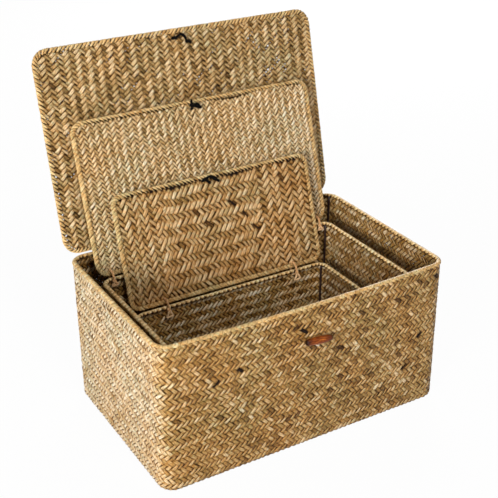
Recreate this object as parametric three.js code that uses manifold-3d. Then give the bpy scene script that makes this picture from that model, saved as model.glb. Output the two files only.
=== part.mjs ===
// A nest of three lidded boxes plaited from flat seagrass strands, each over a coated wire frame.
// Every box has a flat lid tied on with twine at the back, and an elastic loop that hooks over
// a wooden toggle at the front. The lids stand open, and the smaller boxes sit inside the larger.
// Millimetres, +Z up, front towards -Y, origin at the middle of the large box's underside.
import * as THREE from 'three';
import { mergeVertices } from 'three/addons/utils/BufferGeometryUtils.js';
import Module from 'manifold-3d';

const wasm = await Module();
wasm.setup();

// Large box, measured over its rim
const largeWidth = 400;
const largeDepth = 256;
const largeHeight = 198;
const largeCorner = 21;
const largeFrontBow = 5; // the long front wall has bellied out this far at the rim
const largeLidTrim = 4; // its lid is this much narrower than the rim
const largeLidShift = -3; // and sits a little to the left on its loose ties
const largeLean = 13.4; // degrees past upright

// Medium box, by the room it leaves to the large box's rim
const mediumRoomLeft = 26.5;
const mediumRoomRight = 28.5;
const mediumRoomFront = 25.5;
const mediumRoomBack = 33.5;
const mediumRoomTop = 24.6;
const mediumCorner = 17;
const mediumLean = 17;

// Small box, by the room it leaves to the medium box's rim; its front room is what its toggle needs
const smallRoomLeft = 30.5;
const smallRoomRight = 24.5;
const smallRoomBack = 27;
const smallRoomTop = 45.6;
const smallCorner = 15;
const togglePassGap = 0.8; // between the small box's toggle and the medium box's rim
const lidRestGap = 1.2; // between the small lid, leaning back, and the medium box's rim

// Woven mat, wire and the strand wound over the edges
const wall = 2.2;
const footRadius = 5;
const wire = 2.2;
const binding = 0.8;
const fit = 0.3; // running clearance between neighbours
const rimCrown = 3; // height of the rim's rounded top
const rimLeg = 6.5; // from the top of the rim to the ends of its legs
const lidFlange = 9; // how far the lid's binding reaches in from the edge

// Twine ties
const largeTieInset = 48; // from the ends of the rim
const smallTieInset = 48;
const tieSideGap = 2; // from the medium box's ties to the small lid, which leans between them
const twine = 2.4;
const tieRadius = 13.5; // of the loop about the hinge line
const tieSlack = 4.5; // how much flatter the loop is behind the box
const tieSlackSweep = 140; // degrees
const tieHoleFit = 0.7;
const tieKnot = 4.8;
const tieTail = 10;
const tieTailSpread = 3.3;
const tieTailTwine = 1.8;

// Wooden toggles and their cords
const toggleLength = 36;
const toggleDiameter = 9.5;
const toggleEnd = 5.4;
const toggleCord = 1.5;
const toggleSlack = 7.6; // how far the cord's bight hangs below the toggle's middle
const toggleSlackSpread = 4.4;
const toggleKnot = 4.4;
const toggleShift = 2.5; // to the right of the middle
const toggleTilt = 5; // degrees, right end down
const largeToggleDrop = 46; // below the rim
const mediumToggleDrop = 42;
const smallToggleDrop = 34;

// Elastic loops
const elastic = 2.6;
const loopSpread = 13; // between the two holes
const loopLift = 2.6; // over the lid where the cord bends out of its hole
const loopHoleFit = 0.7;
const loopKnot = 5.2;
const loopTailReach = 7; // of the left end, along the edge
const loopTailDrop = 8; // of the right end, away from the edge
const largeLoopReach = 52; // from the holes to the far end of the loop
const mediumLoopReach = 48;
const smallLoopReach = 40;

// Facets
const cornerSteps = 4;
const frontSteps = 4;
const footSteps = 3;
const crownSteps = 4;
const wireSides = 6;
const cordSides = 8;
const holeSides = 8;
const tieSteps = 14;
const loopSteps = 16;
const tailSteps = 2;
const toggleSteps = 4;
const toggleSides = 10;
const bightSteps = 12;

const deg = THREE.MathUtils.degToRad;

// The rim in section: binding, mat, wire and binding again, each a running clearance apart
const wallInset = binding + fit;
const wallInner = wallInset + wall;
const wireInset = wallInner + fit + wire / 2;
const rimWidth = wireInset + wire / 2 + fit + binding;
const wireDrop = rimCrown + fit;
const wallDrop = rimCrown;
const floor = wall;
const innerFoot = Math.max(footRadius - wall, wire / 2 + fit);

// The lid in section: a mat panel and an edge wire gripped by the binding
const lidMid = binding + fit + wall / 2;
const lidThick = 2 * lidMid;
const lidWireInset = binding + fit + wire / 2;
const lidPanelInset = lidWireInset + wire / 2 + fit;
const loopInset = lidFlange + loopKnot / 2 + fit; // from the lid's front edge to the loop's holes

// The toggle stands off the wall by the cord that hangs behind it
const cordStand = fit + toggleCord / 2; // from the wall to the middle of that cord
const toggleStand = 2 * cordStand + toggleDiameter / 2; // from the wall to the toggle's middle
const toggleReach = toggleStand + toggleDiameter / 2;

// The medium box's ties pass beside the small lid
const mediumTieInset = Math.min(smallRoomLeft, smallRoomRight) - tieTailSpread - twine / 2 - tieSideGap;

// Sizes and places of the three boxes, each in the frame of the nest
const large = {
  name: 'large',
  width: largeWidth,
  depth: largeDepth,
  height: largeHeight,
  corner: largeCorner,
  bow: largeFrontBow,
  lidWidth: largeWidth - largeLidTrim,
  lidShift: largeLidShift,
  lean: largeLean,
  tieInset: largeTieInset,
  toggleDrop: largeToggleDrop,
  loopReach: largeLoopReach,
  place: new THREE.Vector3(0, 0, 0),
};

function nested(outer, room, own) {
  const width = outer.width - room.left - room.right;
  const depth = outer.depth - room.front - room.back;
  const place = new THREE.Vector3((room.left - room.right) / 2, (room.front - room.back) / 2, floor + fit);
  return {
    width,
    depth,
    height: outer.height - place.z - room.top,
    bow: 0,
    lidWidth: width,
    lidShift: 0,
    place: place.add(outer.place),
    ...own,
  };
}

const mediumRoom = {
  left: mediumRoomLeft,
  right: mediumRoomRight,
  front: mediumRoomFront,
  back: mediumRoomBack,
  top: mediumRoomTop,
};
const medium = nested(large, mediumRoom, {
  name: 'medium',
  corner: mediumCorner,
  lean: mediumLean,
  tieInset: mediumTieInset,
  toggleDrop: mediumToggleDrop,
  loopReach: mediumLoopReach,
});

// The small lid leans back until it all but rests on the medium box's back rim
function restingLean(run, rise, thickness) {
  const reach = Math.hypot(run, rise);
  return THREE.MathUtils.radToDeg(Math.acos(thickness / reach) - Math.atan2(rise, run));
}

const smallRoom = {
  left: smallRoomLeft,
  right: smallRoomRight,
  front: rimWidth + toggleReach - wallInset + togglePassGap,
  back: smallRoomBack,
  top: smallRoomTop,
};
const small = nested(medium, smallRoom, {
  name: 'small',
  corner: smallCorner,
  lean: restingLean(smallRoomBack - rimWidth, smallRoomTop - fit, lidThick + lidRestGap),
  tieInset: smallTieInset,
  toggleDrop: smallToggleDrop,
  loopReach: smallLoopReach,
});

// Solids and meshes
function toSolid(geometry) {
  const bare = geometry.clone();
  bare.deleteAttribute('normal');
  bare.deleteAttribute('uv');
  const merged = mergeVertices(bare, 1e-4);
  const vertProperties = new Float32Array(merged.attributes.position.array);
  const triVerts = new Uint32Array(merged.index.array);
  return new wasm.Manifold(new wasm.Mesh({ numProp: 3, vertProperties, triVerts }));
}

function toGeometry(solid) {
  const mesh = solid.getMesh();
  const geometry = new THREE.BufferGeometry();
  geometry.setAttribute('position', new THREE.Float32BufferAttribute(mesh.vertProperties, 3));
  geometry.setIndex(Array.from(mesh.triVerts));
  geometry.computeVertexNormals();
  return geometry;
}

function joined(geometries) {
  return toGeometry(geometries.map(toSolid).reduce((sum, next) => sum.add(next)));
}

function drilled(geometry, drills) {
  return toGeometry(drills.map(toSolid).reduce((rest, drill) => rest.subtract(drill), toSolid(geometry)));
}

function piece(name, geometry, colour, roughness, metalness = 0) {
  const material = new THREE.MeshStandardMaterial({ color: colour, roughness, metalness });
  const mesh = new THREE.Mesh(geometry, material);
  mesh.name = name;
  return mesh;
}

// Outline of a rounded rectangle drawn in by inset, counter-clockwise from its front left corner.
// With a bow given, the front side bellies out by it between the corners.
function outline(width, depth, corner, inset, bow) {
  const radius = Math.max(corner - inset, fit);
  const x = width / 2 - inset - radius;
  const y = depth / 2 - inset - radius;
  const centres = [[-x, -y], [x, -y], [x, y], [-x, y]];
  const points = [];
  centres.forEach(([cx, cy], side) => {
    for (let i = 0; i <= cornerSteps; i += 1) {
      const angle = deg(180 + 90 * (side + i / cornerSteps));
      points.push(new THREE.Vector2(cx + radius * Math.cos(angle), cy + radius * Math.sin(angle)));
    }
    for (let i = 1; side === 0 && bow !== null && i < frontSteps; i += 1) {
      const along = 2 * i / frontSteps - 1;
      points.push(new THREE.Vector2(x * along, -y - radius - bow * (1 - along * along)));
    }
  });
  return points;
}

// The belly of the front wall grows evenly towards the rim
function bowAt(box, z) {
  return box.bow * Math.max(z, 0) / box.height;
}

function boxRing(box, inset, z) {
  const points = outline(box.width, box.depth, box.corner, inset, box.bow ? bowAt(box, z) : null);
  return points.map((p) => new THREE.Vector3(p.x, p.y, z));
}

// Lid rings lie in the closed lid's own frame: hinge line at the origin, underside at z = 0
function lidRing(box, inset, z) {
  const points = outline(box.lidWidth, box.depth, box.corner, inset, null);
  return points.map((p) => new THREE.Vector3(p.x, p.y - box.depth / 2, z));
}

// A closed skin over rings that run up the outside and down the inside. The first and last ring
// either join up, or are closed by flat faces.
function skin(rings, looped) {
  const count = rings[0].length;
  const points = rings.flat();
  const faces = [];
  const last = looped ? rings.length : rings.length - 1;
  for (let j = 0; j < last; j += 1) {
    const low = j * count;
    const high = ((j + 1) % rings.length) * count;
    for (let i = 0; i < count; i += 1) {
      const next = (i + 1) % count;
      faces.push(low + i, low + next, high + next, low + i, high + next, high + i);
    }
  }
  if (!looped) {
    const first = points.length;
    const top = (rings.length - 1) * count;
    points.push(centroid(rings[0]), centroid(rings[rings.length - 1]));
    for (let i = 0; i < count; i += 1) {
      const next = (i + 1) % count;
      faces.push(first, next, i, first + 1, top + i, top + next);
    }
  }
  const geometry = new THREE.BufferGeometry().setFromPoints(points);
  geometry.setIndex(faces);
  geometry.computeVertexNormals();
  return geometry;
}

function centroid(ring) {
  return ring.reduce((sum, p) => sum.add(p), new THREE.Vector3()).divideScalar(ring.length);
}

// A round wire bent to a ring: its section runs from the outside over the top
function wireRings(ringAt, inset, z) {
  return Array.from({ length: wireSides }, (_, i) => {
    const angle = 2 * Math.PI * i / wireSides;
    return ringAt(inset - wire / 2 * Math.cos(angle), z + wire / 2 * Math.sin(angle));
  });
}

function rodY(radius, from, to, sides = holeSides) {
  const rod = new THREE.CylinderGeometry(radius, radius, to - from, sides);
  return rod.translate(0, (from + to) / 2, 0);
}

function rodZ(radius, from, to, sides = holeSides) {
  return rodY(radius, from, to, sides).rotateX(Math.PI / 2);
}

function cordAlong(points, diameter, steps) {
  const section = new THREE.Shape().absarc(0, 0, diameter / 2, 0, 2 * Math.PI, false);
  const extrudePath = new THREE.CatmullRomCurve3(points, false, 'centripetal');
  const curveSegments = cordSides / 2;
  return new THREE.ExtrudeGeometry(section, { steps, curveSegments, bevelEnabled: false, extrudePath });
}

function knot(diameter, at) {
  const ball = new THREE.SphereGeometry(diameter / 2, cordSides, cordSides / 2 + 1);
  return ball.translate(at.x, at.y, at.z);
}

// Woven body: flat underside, rounded foot, walls up to under the rim, and the hollow inside
function wovenBody(box) {
  const top = box.height - wallDrop;
  const footAngles = Array.from({ length: footSteps + 1 }, (_, i) => deg(90 * i / footSteps));
  const rings = [
    ...footAngles.map((a) => boxRing(
      box,
      wallInset + footRadius * (1 - Math.sin(a)),
      footRadius * (1 - Math.cos(a)),
    )),
    boxRing(box, wallInset, top),
    boxRing(box, wallInner, top),
    ...footAngles.toReversed().map((a) => boxRing(
      box,
      wallInner + innerFoot * (1 - Math.sin(a)),
      floor + innerFoot * (1 - Math.cos(a)),
    )),
  ];
  const back = box.depth / 2;
  const tieHole = rodY(twine / 2 + tieHoleFit, -rimWidth, rimWidth);
  const tieHoles = tiePlaces(box).map((x) => tieHole.clone().translate(x, back, tieHoleHeight(box)));
  const cordHole = rodY(toggleCord / 2 + fit, -rimWidth, rimWidth);
  const front = toggleSeat(box);
  return drilled(skin(rings, false), [...tieHoles, cordHole.translate(front.x, front.y, front.z)]);
}

// Rim binding: an arch of wound strand over the mat's edge and the wire, open below
function rimBinding(box) {
  const arch = (inset, drop, steps) => Array.from({ length: steps + 1 }, (_, i) => {
    const angle = Math.PI * i / steps;
    const half = rimWidth / 2 - inset;
    return [rimWidth / 2 - half * Math.cos(angle), -rimCrown + (rimCrown - drop) * Math.sin(angle)];
  });
  const profile = [
    [0, -rimLeg],
    ...arch(0, 0, crownSteps),
    [rimWidth, -rimLeg],
    [rimWidth - binding, -rimLeg],
    ...arch(binding, binding, crownSteps).reverse(),
    [binding, -rimLeg],
  ];
  return skin(profile.map(([inset, z]) => boxRing(box, inset, box.height + z)), true);
}

// Wire frame: a rim hoop, a base hoop in the inner foot, and a post in each corner, welded up
function wireFrame(box) {
  const slack = (innerFoot - wire / 2 - fit) * Math.SQRT1_2;
  const footInset = wallInner + innerFoot - slack;
  const footHeight = floor + innerFoot - slack;
  const rimHeight = box.height - wireDrop;
  const ringAt = (inset, z) => boxRing(box, inset, z);
  const hoops = [
    skin(wireRings(ringAt, wireInset, rimHeight), true),
    skin(wireRings(ringAt, footInset, footHeight), true),
  ];
  const reach = (box.corner - wireInset) * Math.SQRT1_2;
  const x = box.width / 2 - box.corner + reach;
  const y = box.depth / 2 - box.corner + reach;
  const posts = [[-x, -y], [x, -y], [x, y], [-x, y]].map(([px, py]) => (
    rodZ(wire / 2, footHeight - fit, rimHeight + fit, wireSides).translate(px, py, 0)
  ));
  return joined([...hoops, ...posts]);
}

// Twine ties: each loop passes through the back wall and the lid, about the hinge line
function tiePlaces(box) {
  return [box.tieInset - box.width / 2, box.width / 2 - box.tieInset];
}

function tieHoleHeight(box) {
  const depth = (wallInset + wallInner) / 2;
  return box.height + fit - Math.sqrt(tieRadius ** 2 - depth ** 2);
}

// The loop is round where the lid slides along it, and flatter behind the box
class TieLoop extends THREE.Curve {
  getPoint(t, target = new THREE.Vector3()) {
    const turn = 360 * t - 90;
    const share = Math.sin(Math.PI * Math.min((turn + 90) / tieSlackSweep, 1));
    const radius = tieRadius - tieSlack * share * share;
    return target.set(0, radius * Math.cos(deg(turn)), radius * Math.sin(deg(turn)));
  }
}

function twineTie() {
  const loop = new THREE.TubeGeometry(new TieLoop(), tieSteps, twine / 2, wireSides, true);
  const reach = tieRadius * Math.SQRT1_2;
  const at = new THREE.Vector3(0, -reach, -reach);
  const tails = [-1, 1].map((side) => cordAlong([
    at,
    at.clone().add(new THREE.Vector3(side * tieTailSpread / 2, -twine / 2, -tieTail / 2)),
    at.clone().add(new THREE.Vector3(side * tieTailSpread, 0, -tieTail)),
  ], tieTailTwine, tailSteps));
  return joined([loop, knot(tieKnot, at), ...tails]);
}

// Lid: mat panel, edge wire and the binding that grips both
function lidPanel(box) {
  const low = lidMid - wall / 2;
  const high = lidMid + wall / 2;
  const plate = skin([lidRing(box, lidPanelInset, low), lidRing(box, lidPanelInset, high)], false);
  const tieHole = rodZ(twine / 2 + tieHoleFit, -lidThick, 2 * lidThick);
  const tieY = -Math.sqrt(tieRadius ** 2 - lidMid ** 2);
  const loopHole = rodZ(elastic / 2 + loopHoleFit, -lidThick, 2 * lidThick);
  const loopY = loopInset - box.depth;
  return drilled(plate, [
    ...tiePlaces(box).map((x) => tieHole.clone().translate(x - box.lidShift, tieY, 0)),
    ...[-1, 1].map((side) => loopHole.clone().translate(side * loopSpread / 2, loopY, 0)),
  ]);
}

function lidWire(box) {
  const ringAt = (inset, z) => lidRing(box, inset, z);
  return skin(wireRings(ringAt, lidWireInset, lidMid), true);
}

function lidBinding(box) {
  const bend = (inset, height, steps) => Array.from({ length: steps + 1 }, (_, i) => {
    const angle = Math.PI * (i / steps - 0.5);
    return [lidWireInset - (lidWireInset - inset) * Math.cos(angle), height * Math.sin(angle)];
  });
  const inner = lidMid - binding;
  const profile = [
    [lidFlange, -lidMid],
    ...bend(0, lidMid, crownSteps),
    [lidFlange, lidMid],
    [lidFlange, inner],
    ...bend(binding, inner, crownSteps).reverse(),
    [lidFlange, -inner],
  ];
  return skin(profile.map(([inset, z]) => lidRing(box, inset, lidMid + z)), true);
}

// Elastic loop: up through two holes and lying back along the lid's top. Under the lid each end
// is knotted, and a bridle joins the knots.
function lidLoop(box) {
  const half = loopSpread / 2;
  const y = loopInset - box.depth;
  const low = lidMid - wall / 2 - fit;
  const over = lidMid + wall / 2 + fit + elastic / 2;
  const side = (sign) => [
    new THREE.Vector3(sign * half, y, low - loopKnot / 2),
    new THREE.Vector3(sign * half, y, lidMid + wall / 2),
    new THREE.Vector3(sign * half, y + elastic, over + loopLift),
    new THREE.Vector3(sign * half, y + 5 * elastic, over + loopLift / 3),
    new THREE.Vector3(sign * half, y + box.loopReach - half, over),
  ];
  const end = new THREE.Vector3(0, y + box.loopReach, over);
  const cord = cordAlong([...side(-1), end, ...side(1).reverse()], elastic, loopSteps);
  const knots = [-1, 1].map((sign) => side(sign)[0]);
  const under = low - loopKnot / 2;
  const slack = new THREE.Vector3(0, y - elastic, under);
  const bridle = cordAlong([knots[0], slack, knots[1]], elastic, 2 * tailSteps);
  const leftTail = [
    knots[0],
    new THREE.Vector3(-half - loopTailReach / 2, y + elastic / 2, under),
    new THREE.Vector3(-half - loopTailReach, y, under),
  ];
  const rightTail = [
    knots[1],
    new THREE.Vector3(half + elastic, y + loopTailDrop / 2, under),
    new THREE.Vector3(half + 2 * elastic, y + loopTailDrop, under),
  ];
  const tails = [leftTail, rightTail].map((points) => cordAlong(points, elastic, tailSteps));
  return joined([cord, ...knots.map((at) => knot(loopKnot, at)), bridle, ...tails]);
}

// Toggle and cord, in a frame on the wall's face: the toggle's length lies along X
function toggleSeat(box) {
  const z = box.height - box.toggleDrop;
  return new THREE.Vector3(toggleShift, -box.depth / 2 + wallInset - bowAt(box, z), z);
}

function toggle() {
  const half = toggleLength / 2;
  const full = toggleDiameter / 2;
  const end = toggleEnd / 2;
  const flank = Array.from({ length: toggleSteps + 1 }, (_, i) => {
    const along = i / toggleSteps;
    return new THREE.Vector2(end + (full - end) * Math.cos(along * Math.PI / 2), half * along);
  });
  const upper = [...flank, new THREE.Vector2(0, half)];
  const lower = upper.slice(1).reverse().map((p) => new THREE.Vector2(p.x, -p.y));
  const wood = new THREE.LatheGeometry([...lower, ...upper], toggleSides);
  wood.rotateZ(Math.PI / 2).translate(0, -toggleStand, 0);
  return drilled(wood, [rodY(toggleCord / 2 + fit, -toggleStand, 0)]);
}

// The cord is knotted inside the wall and seated in the toggle's back, and a bight of it hangs below
function toggleString() {
  const inside = wall + fit + toggleKnot / 2;
  const stem = rodY(toggleCord / 2, fit - toggleStand, inside);
  const half = toggleSlackSpread / 2;
  const side = (sign) => [
    new THREE.Vector3(sign * half, -cordStand, -toggleDiameter / 3),
    new THREE.Vector3(sign * half, -toggleDiameter / 2, -toggleSlack + toggleCord / 2),
  ];
  const start = new THREE.Vector3(0, -cordStand, 0);
  const end = new THREE.Vector3(0, -toggleStand, -toggleSlack);
  const bight = cordAlong([start, ...side(-1), end, ...side(1).reverse(), start], toggleCord, bightSteps);
  return joined([stem, bight, knot(toggleKnot, new THREE.Vector3(0, inside, 0))]);
}

// One box with its lid, ties, toggle and loop
const seagrass = 0xb08a55;
const paleEdge = 0xc9a873;
const coatedWire = 0x2b1712;
const jute = 0xb98d6a;
const lacquered = 0x7a2f12;
const cotton = 0xd9cdbb;
const blackElastic = 0x15130f;

function lidGroup(box) {
  const group = new THREE.Group();
  group.position.set(box.lidShift, box.depth / 2, box.height + fit);
  group.rotation.x = -deg(90 + box.lean);
  group.add(piece(`${box.name}_lid_panel`, lidPanel(box), seagrass, 0.75));
  group.add(piece(`${box.name}_lid_wire`, lidWire(box), coatedWire, 0.5, 0.4));
  group.add(piece(`${box.name}_lid_binding`, lidBinding(box), paleEdge, 0.7));
  group.add(piece(`${box.name}_lid_loop`, lidLoop(box), blackElastic, 0.8));
  return group;
}

function toggleGroup(box) {
  const group = new THREE.Group();
  group.position.copy(toggleSeat(box));
  group.rotation.y = deg(toggleTilt);
  group.add(piece(`${box.name}_toggle`, toggle(), lacquered, 0.3));
  group.add(piece(`${box.name}_toggle_cord`, toggleString(), cotton, 0.85));
  return group;
}

function boxGroup(box) {
  const group = new THREE.Group();
  group.position.copy(box.place);
  group.add(piece(`${box.name}_woven_body`, wovenBody(box), seagrass, 0.75));
  group.add(piece(`${box.name}_rim_binding`, rimBinding(box), paleEdge, 0.7));
  group.add(piece(`${box.name}_wire_frame`, wireFrame(box), coatedWire, 0.5, 0.4));
  tiePlaces(box).forEach((x, i) => {
    const tie = piece(`${box.name}_${['left', 'right'][i]}_tie`, twineTie(), jute, 0.85);
    tie.position.set(x, box.depth / 2, box.height + fit);
    group.add(tie);
  });
  group.add(lidGroup(box), toggleGroup(box));
  return group;
}

const nest = new THREE.Group();
nest.name = 'woven_box_nest';
nest.add(...[large, medium, small].map(boxGroup));

export default nest;
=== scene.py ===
import math
import bpy
import numpy as np
from types import SimpleNamespace as Box
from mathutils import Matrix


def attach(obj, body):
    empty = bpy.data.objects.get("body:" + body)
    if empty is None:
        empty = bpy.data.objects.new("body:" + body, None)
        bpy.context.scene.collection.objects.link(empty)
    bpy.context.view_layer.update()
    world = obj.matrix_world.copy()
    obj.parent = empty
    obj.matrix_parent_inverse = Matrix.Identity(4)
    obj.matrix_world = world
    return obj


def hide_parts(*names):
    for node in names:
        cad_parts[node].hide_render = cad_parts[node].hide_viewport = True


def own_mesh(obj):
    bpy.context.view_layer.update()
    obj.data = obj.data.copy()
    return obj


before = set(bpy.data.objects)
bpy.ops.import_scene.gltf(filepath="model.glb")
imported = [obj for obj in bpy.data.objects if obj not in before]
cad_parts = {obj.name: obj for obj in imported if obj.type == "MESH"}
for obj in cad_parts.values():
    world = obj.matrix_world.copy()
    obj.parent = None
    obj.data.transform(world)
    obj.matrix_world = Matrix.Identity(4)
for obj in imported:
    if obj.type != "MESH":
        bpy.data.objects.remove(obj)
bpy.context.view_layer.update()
chance = np.random.default_rng(23)
print("frame loaded with", len(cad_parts), "nodes")

# sizes of the solid model, in millimetres; meshes turn into metres when they are made
fit = 0.3
mat = 2.2  # thickness of a woven mat
wire = 2.2
wallInset = 1.1  # from the rim's outer face to the mat
wallMid = wallInset + mat / 2
footRadius = 5
rimWidth = 6.9
lidMid = 2.2  # from the lid's underside to the middle of its mat

boxes = [
    Box(name="large", width=400, depth=256, height=198, corner=21, bow=5, place=(0, 0, 0),
        lidWidth=396, lidShift=-3, lean=13.4, tieInset=48, toggleDrop=46, loopReach=52),
    Box(name="medium", width=345, depth=197, height=170.9, corner=17, bow=0, place=(-1, -4, 2.5),
        lidWidth=345, lidShift=0, lean=17, tieInset=18, toggleDrop=42, loopReach=48),
    Box(name="small", width=290, depth=151.8, height=122.8, corner=15, bow=0, place=(2, -8.4, 5),
        lidWidth=290, lidShift=0, lean=17.4392, tieInset=48, toggleDrop=34, loopReach=40),
]
for box in boxes:  # width, depth and corner radius of the box and of its lid
    box.plan = box.width, box.depth, box.corner
    box.lidPlan = box.lidWidth, box.depth, box.corner
fourCorners = ((-1, -1), (1, -1), (1, 1), (-1, 1))
plainTone = 0.5  # halfway between dark and pale


# camera

photoView = {"lens": 76.45, "sensor": 36, "eye": (-0.59914, -1.00219, 0.80125),
             "turn": (63.22008, 0.35166, -30.60465)}


def addObject(name, data):
    added = bpy.data.objects.new(name, data)
    bpy.context.collection.objects.link(added)
    return added


camera = addObject("camera", bpy.data.cameras.new("camera"))
camera.data.lens = photoView["lens"]
camera.data.sensor_width = photoView["sensor"]
camera.location = photoView["eye"]
camera.rotation_euler = [math.radians(angle) for angle in photoView["turn"]]
bpy.context.scene.camera = camera
print("camera set")


# shader helpers

def tint(red, green, blue):
    # a screen colour, each part out of 255, as linear light
    def linear(value):
        return value / 3294.6 if value < 10.3 else ((value / 255 + 0.055) / 1.055) ** 2.4
    return (linear(red), linear(green), linear(blue), 1)


def emptyTree(owner):
    owner.use_nodes = True
    owner.node_tree.nodes.clear()
    return owner.node_tree


def put(tree, kind, sockets=None, **settings):
    node = tree.nodes.new("ShaderNode" + kind)
    for key, value in settings.items():
        setattr(node, key, value)
    for key, value in (sockets or {}).items():
        if isinstance(value, bpy.types.NodeSocket):
            tree.links.new(value, node.inputs[key])
        else:
            node.inputs[key].default_value = value
    return node


def sums(tree, operation, first, second=0.0, third=0.0):
    return put(tree, "Math", {0: first, 1: second, 2: third}, operation=operation).outputs[0]


def times(tree, first, second, plus=0.0):
    return sums(tree, "MULTIPLY_ADD", first, second, plus)


def carried(tree, label, output="Vector"):
    return put(tree, "Attribute", attribute_name=label).outputs[output]


def ramp(tree, factor, stops):
    node = put(tree, "ValToRGB", {"Fac": factor})
    elements = node.color_ramp.elements
    elements.remove(elements[1])
    elements[0].position, elements[0].color = stops[0]
    for place, colour in stops[1:]:
        elements.new(place).color = colour
    return node.outputs["Color"]


def noise(tree, place, stretch, detail):
    vector = put(tree, "VectorMath", {0: place, 1: stretch}, operation="MULTIPLY").outputs[0]
    return put(tree, "TexNoise", {"Vector": vector, "Detail": detail}).outputs["Fac"]


def between(tree, value, low, high, start=0.0, end=1.0):
    # low where the value is at the start, high where it is at the end
    return put(tree, "MapRange", {"Value": value, "From Min": start, "From Max": end,
                                  "To Min": low, "To Max": high}).outputs[0]


def stained(tree, colour, stain):
    mixed = put(tree, "Mix", {0: 1.0, 6: colour, 7: stain}, data_type="RGBA", blend_type="MULTIPLY")
    return mixed.outputs[2]


def stopsOf(places, *colours):
    return [(place, tint(*colour)) for place, colour in zip(places, colours)]


def newGroup(name, inputs, outputs):
    group = bpy.data.node_groups.new(name, "ShaderNodeTree")
    for way, labels in (("INPUT", inputs), ("OUTPUT", outputs)):
        for label in labels:
            group.interface.new_socket(label, in_out=way, socket_type="NodeSocketFloat")
    return group, group.nodes.new("NodeGroupInput").outputs, group.nodes.new("NodeGroupOutput").inputs


def newMaterial(name):
    material = bpy.data.materials.new(name)
    return material, emptyTree(material)


def addShader(tree, height, relief, values):
    bump = put(tree, "Bump", {"Strength": relief[0], "Distance": relief[1], "Height": height})
    shader = put(tree, "BsdfPrincipled", {**values, "Normal": bump.outputs[0]})
    put(tree, "OutputMaterial", {"Surface": shader.outputs["BSDF"]})


# Fibre of a flat strand. Every strand mesh carries "strand" (across from -1 to 1, millimetres along,
# and a number of its own) and "tone" (0 dark to 1 pale).

seagrass = {
    # how each pattern is stretched across the strand, along it and from strand to strand
    "blotches": (0.35, 0.11, 190), "streaks": (1.7, 0.07, 310), "grain": (8, 0.25, 530),
    "crease": (0, 0.03, 410), "hue": (0, 0.07, 730),
    "blotchShare": 0.25, "streakShare": 0.5, "grainShare": 0.25, "edgePower": 4,
    "creaseSway": 2.4, "creaseWidth": 0.22, "creaseDark": 0.6, "patchScale": 16,
    "rough": (0.32, 0.5), "relief": (0.6, 0.0005), "gloss": 0.2, "dullTones": (0.05, 0.3), "dull": 0.95,
}


def strandFibreGroup():
    labels = ("Tone", "Shade", "Fibre", "Height", "Hue")
    group, given, out = newGroup("strandFibre", ("Edge Shade", "Crown"), labels)
    strand = carried(group, "strand")
    blotch = noise(group, strand, seagrass["blotches"], 2)
    streak = noise(group, strand, seagrass["streaks"], 3)
    grain = noise(group, strand, seagrass["grain"], 2)
    sideways = put(group, "SeparateXYZ", {0: strand}).outputs[0]
    across = sums(group, "ABSOLUTE", sideways)
    tone = carried(group, "tone", "Fac")
    for pattern, share in ((blotch, "blotchShare"), (streak, "streakShare"), (grain, "grainShare")):
        tone = times(group, sums(group, "SUBTRACT", pattern, 0.5), seagrass[share], tone)
    edge = sums(group, "POWER", across, seagrass["edgePower"])
    shade = sums(group, "SUBTRACT", 1, times(group, edge, given["Edge Shade"]))
    # painted shade: a dark crease line that wanders along the strand
    middle = sums(group, "SUBTRACT", noise(group, strand, seagrass["crease"], 0), 0.5)
    away = sums(group, "SUBTRACT", sideways, times(group, middle, seagrass["creaseSway"]))
    crease = between(group, sums(group, "ABSOLUTE", away), seagrass["creaseDark"], 1.0,
                     end=seagrass["creaseWidth"])
    shade = times(group, shade, crease)
    crown = times(group, times(group, across, across), given["Crown"])
    height = sums(group, "SUBTRACT", times(group, streak, 0.6, times(group, grain, 0.4)), crown)
    ground = put(group, "TexCoord").outputs["Object"]
    patch = put(group, "TexNoise", {"Vector": ground, "Scale": seagrass["patchScale"], "Detail": 3})
    own = noise(group, strand, seagrass["hue"], 1)
    hue = times(group, own, 0.6, times(group, patch.outputs["Fac"], 0.4))
    for label, socket in zip(labels, (tone, shade, grain, height, hue)):
        group.links.new(socket, out[label])
    return group


strandFibre = strandFibreGroup()
strandHues = stopsOf((0.36, 0.5, 0.64), (255, 234, 202), (248, 243, 232), (230, 244, 240))
strandDusk = stopsOf((0.0, 0.5, 1.0), (52, 22, 2), (158, 130, 90), (255, 255, 255))


def strandMaterial(name, stops, edgeShade=1.0, crown=1.8):
    material, tree = newMaterial(name)
    fibre = put(tree, "Group", {"Edge Shade": edgeShade, "Crown": crown}, node_tree=strandFibre).outputs
    colour = ramp(tree, fibre["Tone"], stops)
    colour = stained(tree, colour, ramp(tree, fibre["Hue"], strandHues))
    colour = stained(tree, colour, ramp(tree, fibre["Shade"], strandDusk))
    rough = between(tree, fibre["Fibre"], *seagrass["rough"])
    dull = between(tree, fibre["Tone"], seagrass["dull"], 0.0, *seagrass["dullTones"])
    addShader(tree, fibre["Height"], seagrass["relief"], {
        "Base Color": colour, "Roughness": sums(tree, "MAXIMUM", rough, dull),
        "Specular IOR Level": seagrass["gloss"]})
    return material


# Twisted or braided thread, which carries "strand" and "tone" as well

threads = {"hair": (5, 1.3, 170), "lay": 0.35, "turns": 2, "fuzz": 0.4, "yarnMiddle": 0.6, "yarnShare": 0.3,
           "hairHeight": 0.4, "relief": (0.5, 0.0003)}


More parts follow.
